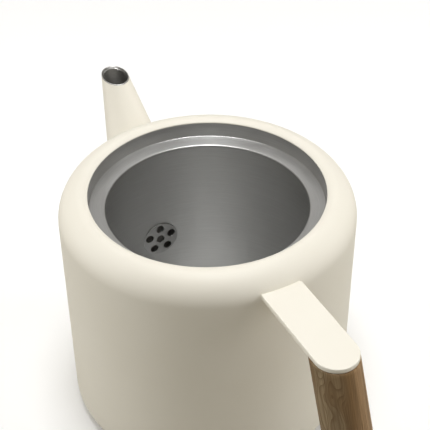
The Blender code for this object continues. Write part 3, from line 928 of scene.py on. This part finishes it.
def makePlug():
    low = -gripLine["length"]
    high = low + plug["thick"]
    corners = [(0, high, 0), (plug["radius"], high, plug["edge"]),
               (plug["radius"], low + plug["dome"], plug["edge"]), (0, low, 0)]
    rows = []
    for r, z in rounded(corners, plug["arcStep"]):
        rows.append([gripMatrix @ p for p in ring(r, z, plug["steps"])])
    piece = skin("gripPlug", rows)
    return settle(piece, gripWood, "wood", "grip_plug")


makeStrap()
makeNeck()
makeGrip()
makePlug()
print("handle made")

carried = {
    "heat_spreader": rolledAluminium, "strap_doubler": innerSteel, "grip_boss": innerSteel,
    "grip_pin": innerSteel, "grip_washer": plateZinc, "grip_spring_washer": plateZinc,
    "grip_screw": plateZinc,
}
for name, material in carried.items():
    obj = nodes[name]
    if not obj.material_slots:
        obj.data.materials.append(material)
    for slot in obj.material_slots:
        slot.material = material
print("carried pieces dressed")


# Floor, light and camera

studio = {
    "floorSize": 6.0,
    "floorColour": (1.0, 1.0, 1.0, 1),
    "floorBounce": (0.46, 0.44, 0.385, 1),
    "floorRoughness": 0.9,
    "floorSpecular": 0.1,
    "fadeReach": (0.5, 1.5),
    "noGlow": (0.0, 0.0, 0.0, 1),
    "worldSeen": (1.0, 1.0, 1.0, 1),
    "worldLight": (0.19, 0.18, 0.16, 1),
}


def makeFloor():
    half = studio["floorSize"] / 2
    corners = [(-half, -half, 0), (half, -half, 0), (half, half, 0), (-half, half, 0)]
    mesh = bpy.data.meshes.new("floor")
    mesh.from_pydata(corners, [], [(0, 1, 2, 3)])
    floor = bpy.data.objects.new("floor", mesh)
    bpy.context.scene.collection.objects.link(floor)
    material, tree, shader = newMaterial("paleFloor")
    path = tree.nodes.new("ShaderNodeLightPath")
    shown = mixColour(tree, path.outputs["Is Camera Ray"],
                      studio["floorBounce"], studio["floorColour"])
    tree.links.new(shown, shader.inputs["Base Color"])
    # out of the lamps' reach the floor fades into the white backdrop, for the camera only
    coords = tree.nodes.new("ShaderNodeTexCoord")
    distance = addNode(tree, "ShaderNodeVectorMath", operation="LENGTH")
    tree.links.new(coords.outputs["Object"], distance.inputs[0])
    fade = remap(tree, distance.outputs["Value"], *studio["fadeReach"], 0, 1)
    seenFade = mathNode(tree, "MULTIPLY", fade, path.outputs["Is Camera Ray"])
    glow = mixColour(tree, seenFade, studio["noGlow"], studio["worldSeen"])
    tree.links.new(glow, shader.inputs["Emission Color"])
    shader.inputs["Emission Strength"].default_value = 1.0
    shader.inputs["Roughness"].default_value = studio["floorRoughness"]
    shader.inputs["Specular IOR Level"].default_value = studio["floorSpecular"]
    mesh.materials.append(material)


def makeWorld():
    world = bpy.data.worlds.new("studioWorld")
    world.use_nodes = True
    tree = world.node_tree
    path = tree.nodes.new("ShaderNodeLightPath")
    shown = mixColour(tree, path.outputs["Is Camera Ray"],
                      studio["worldLight"], studio["worldSeen"])
    tree.links.new(shown, tree.nodes["Background"].inputs["Color"])
    bpy.context.scene.world = world


# mirrored: whether steel and coating show the lamp as a reflection
lamps = {
    "overhead": {"place": (0, 0, 1.5), "aim": (0, 0, 0),
                 "size": (0.5, 0.5), "watts": 10.5, "mirrored": True},
    "overBack": {"place": (-0.805, 0.402, 1.3), "aim": (0, 0, 0),
                 "size": (1.6, 1.0), "watts": 1.9, "mirrored": True},
    "overFront": {"place": (0.447, -0.223, 1.4), "aim": (0, 0, 0),
                  "size": (0.9, 0.6), "watts": 1.3, "mirrored": True},
    "leftSide": {"place": (-0.58, -1.163, 0.6), "aim": (0, 0, 0.08),
                 "size": (1.0, 1.0), "watts": 9.9, "mirrored": False},
    "rightSide": {"place": (0.58, 1.163, 0.6), "aim": (0, 0, 0.08),
                  "size": (1.0, 1.0), "watts": 10.6, "mirrored": False},
    "rightStrip": {"place": (0.58, 1.163, 0.6), "aim": (0, 0, 0.08),
                   "size": (1.0, 1.0), "watts": 1.4, "mirrored": True},
}


def makeLamps():
    for name, lamp in lamps.items():
        data = bpy.data.lights.new(name, "AREA")
        data.shape = "RECTANGLE"
        data.size, data.size_y = lamp["size"]
        data.energy = lamp["watts"]
        obj = bpy.data.objects.new(name, data)
        place = Vector(lamp["place"])
        obj.location = place
        obj.rotation_euler = (Vector(lamp["aim"]) - place).to_track_quat("-Z", "Y").to_euler()
        obj.visible_glossy = lamp["mirrored"]
        bpy.context.scene.collection.objects.link(obj)


camera = {
    "place": Vector((392.5, -195.6, 457.3)) * mm,
    "heading": math.radians(63.51),
    "down": math.radians(36.86),
    "pan": math.radians(0.38),
    "tilt": math.radians(-1.35),
    "roll": math.radians(0.85),
    "lens": 92.1,
    "sensor": 36.0,
    "nearest": 0.01,
}


def makeCamera():
    data = bpy.data.cameras.new("mainCamera")
    data.lens = camera["lens"]
    data.sensor_width = camera["sensor"]
    data.clip_start = camera["nearest"]
    obj = bpy.data.objects.new("mainCamera", data)
    turn = (Matrix.Rotation(camera["heading"], 4, "Z")
            @ Matrix.Rotation(math.pi / 2 - camera["down"], 4, "X")
            @ Matrix.Rotation(-camera["pan"], 4, "Y")
            @ Matrix.Rotation(camera["tilt"], 4, "X")
            @ Matrix.Rotation(-camera["roll"], 4, "Z"))
    obj.matrix_world = Matrix.Translation(camera["place"]) @ turn
    bpy.context.scene.collection.objects.link(obj)
    bpy.context.scene.camera = obj


makeFloor()
makeWorld()
makeLamps()
makeCamera()
bpy.context.scene.view_settings.view_transform = "Standard"
print("studio made")
